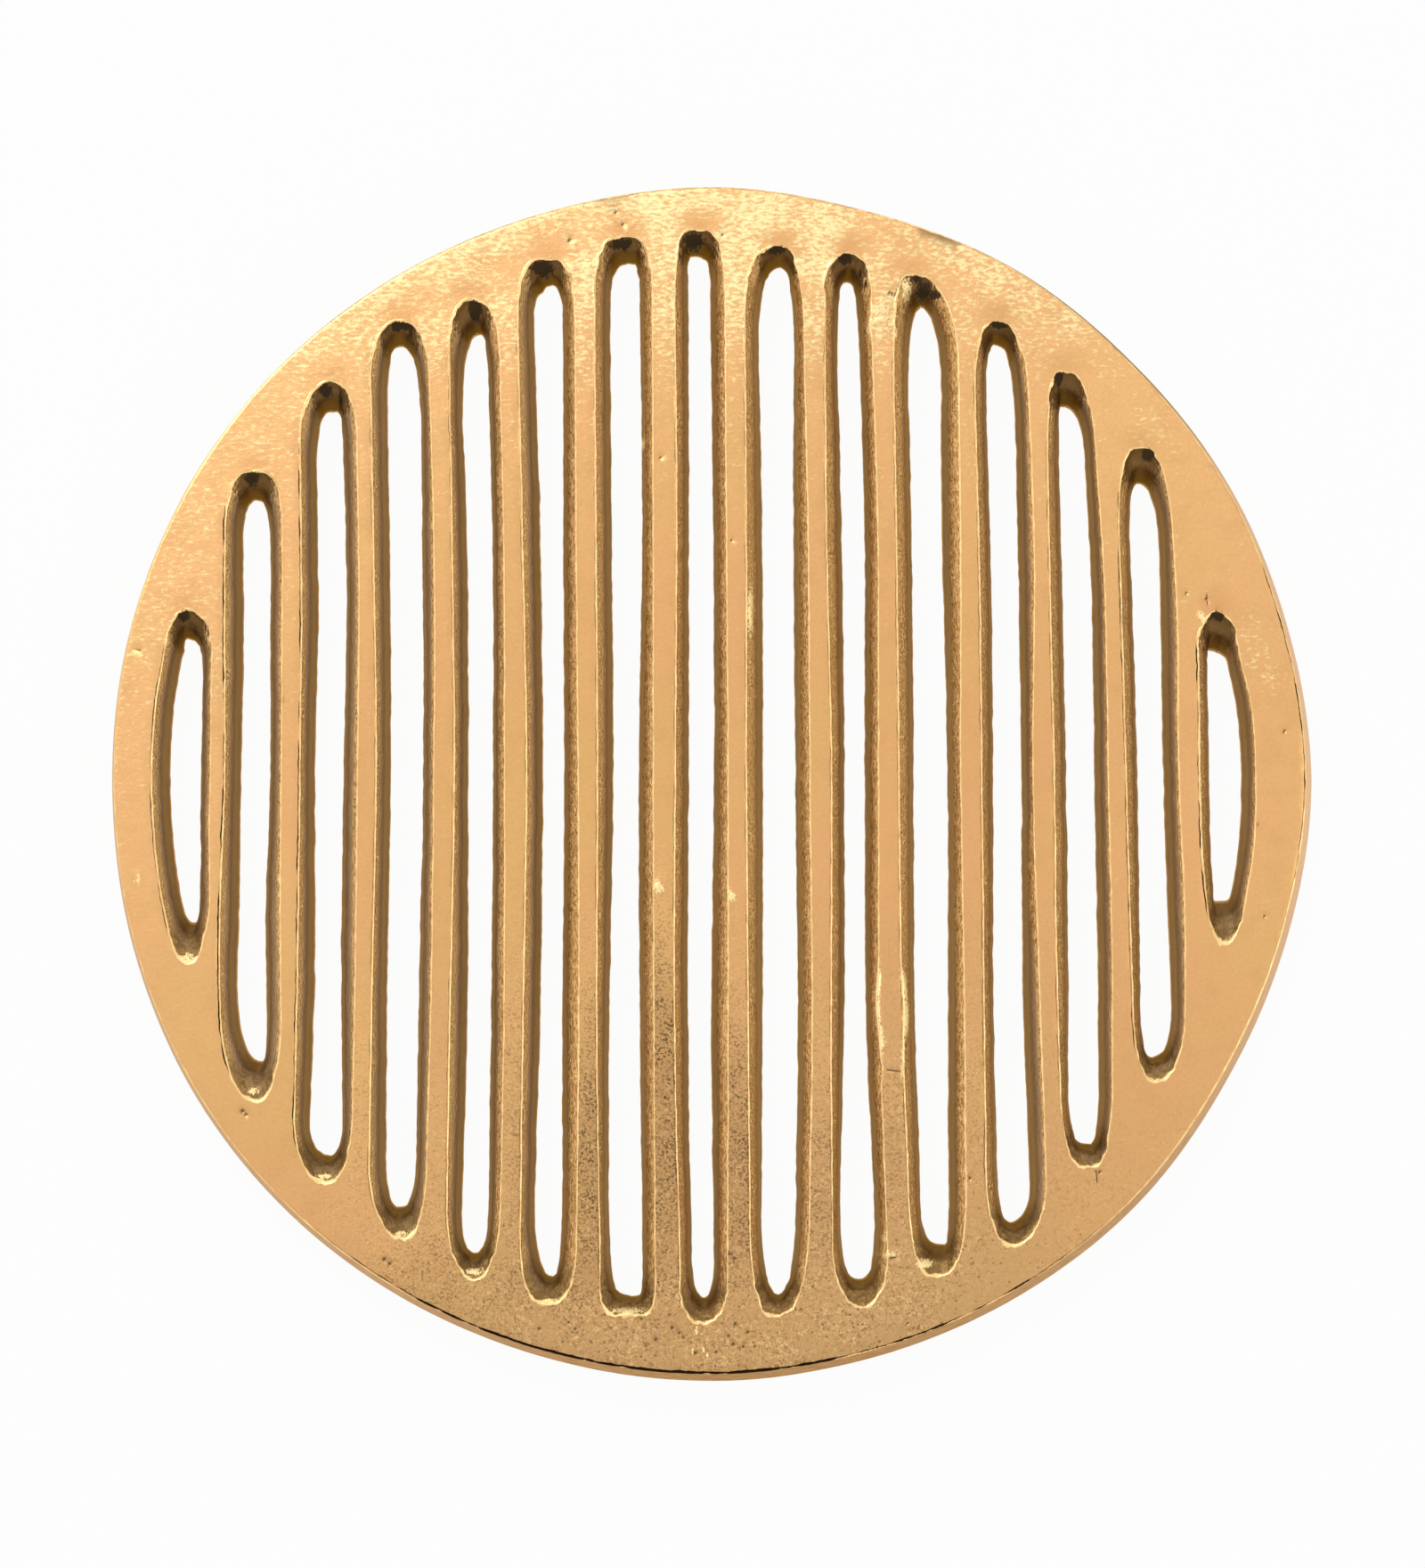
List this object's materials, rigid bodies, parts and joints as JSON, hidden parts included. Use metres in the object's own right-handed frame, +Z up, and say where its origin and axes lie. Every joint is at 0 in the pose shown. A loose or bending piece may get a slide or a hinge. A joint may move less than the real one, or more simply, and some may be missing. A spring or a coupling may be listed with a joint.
{
  "type": "trivet",
  "caption": "Round cast metal trivet with a flat rim, long parallel slots, crescent slots at the sides and push-in rubber feet.",
  "frame": {"origin": "middle of the plate, on the surface that the feet stand on", "axes": "+Z up through the plate's thickness; the long slots run along Y, with the front at -Y"},
  "size_m": [0.2, 0.2, 0.011],
  "materials": {
    "gold_casting": "sand-cast aluminium, tumbled smooth, with a satin gold coat",
    "foot_rubber": "moulded matt black rubber"
  },
  "bodies": {
    "root": {"casting": "gold_casting", "foot_back_left": "foot_rubber", "foot_back_right": "foot_rubber", "foot_front_left": "foot_rubber", "foot_front_right": "foot_rubber"}
  },
  "joints": []
}
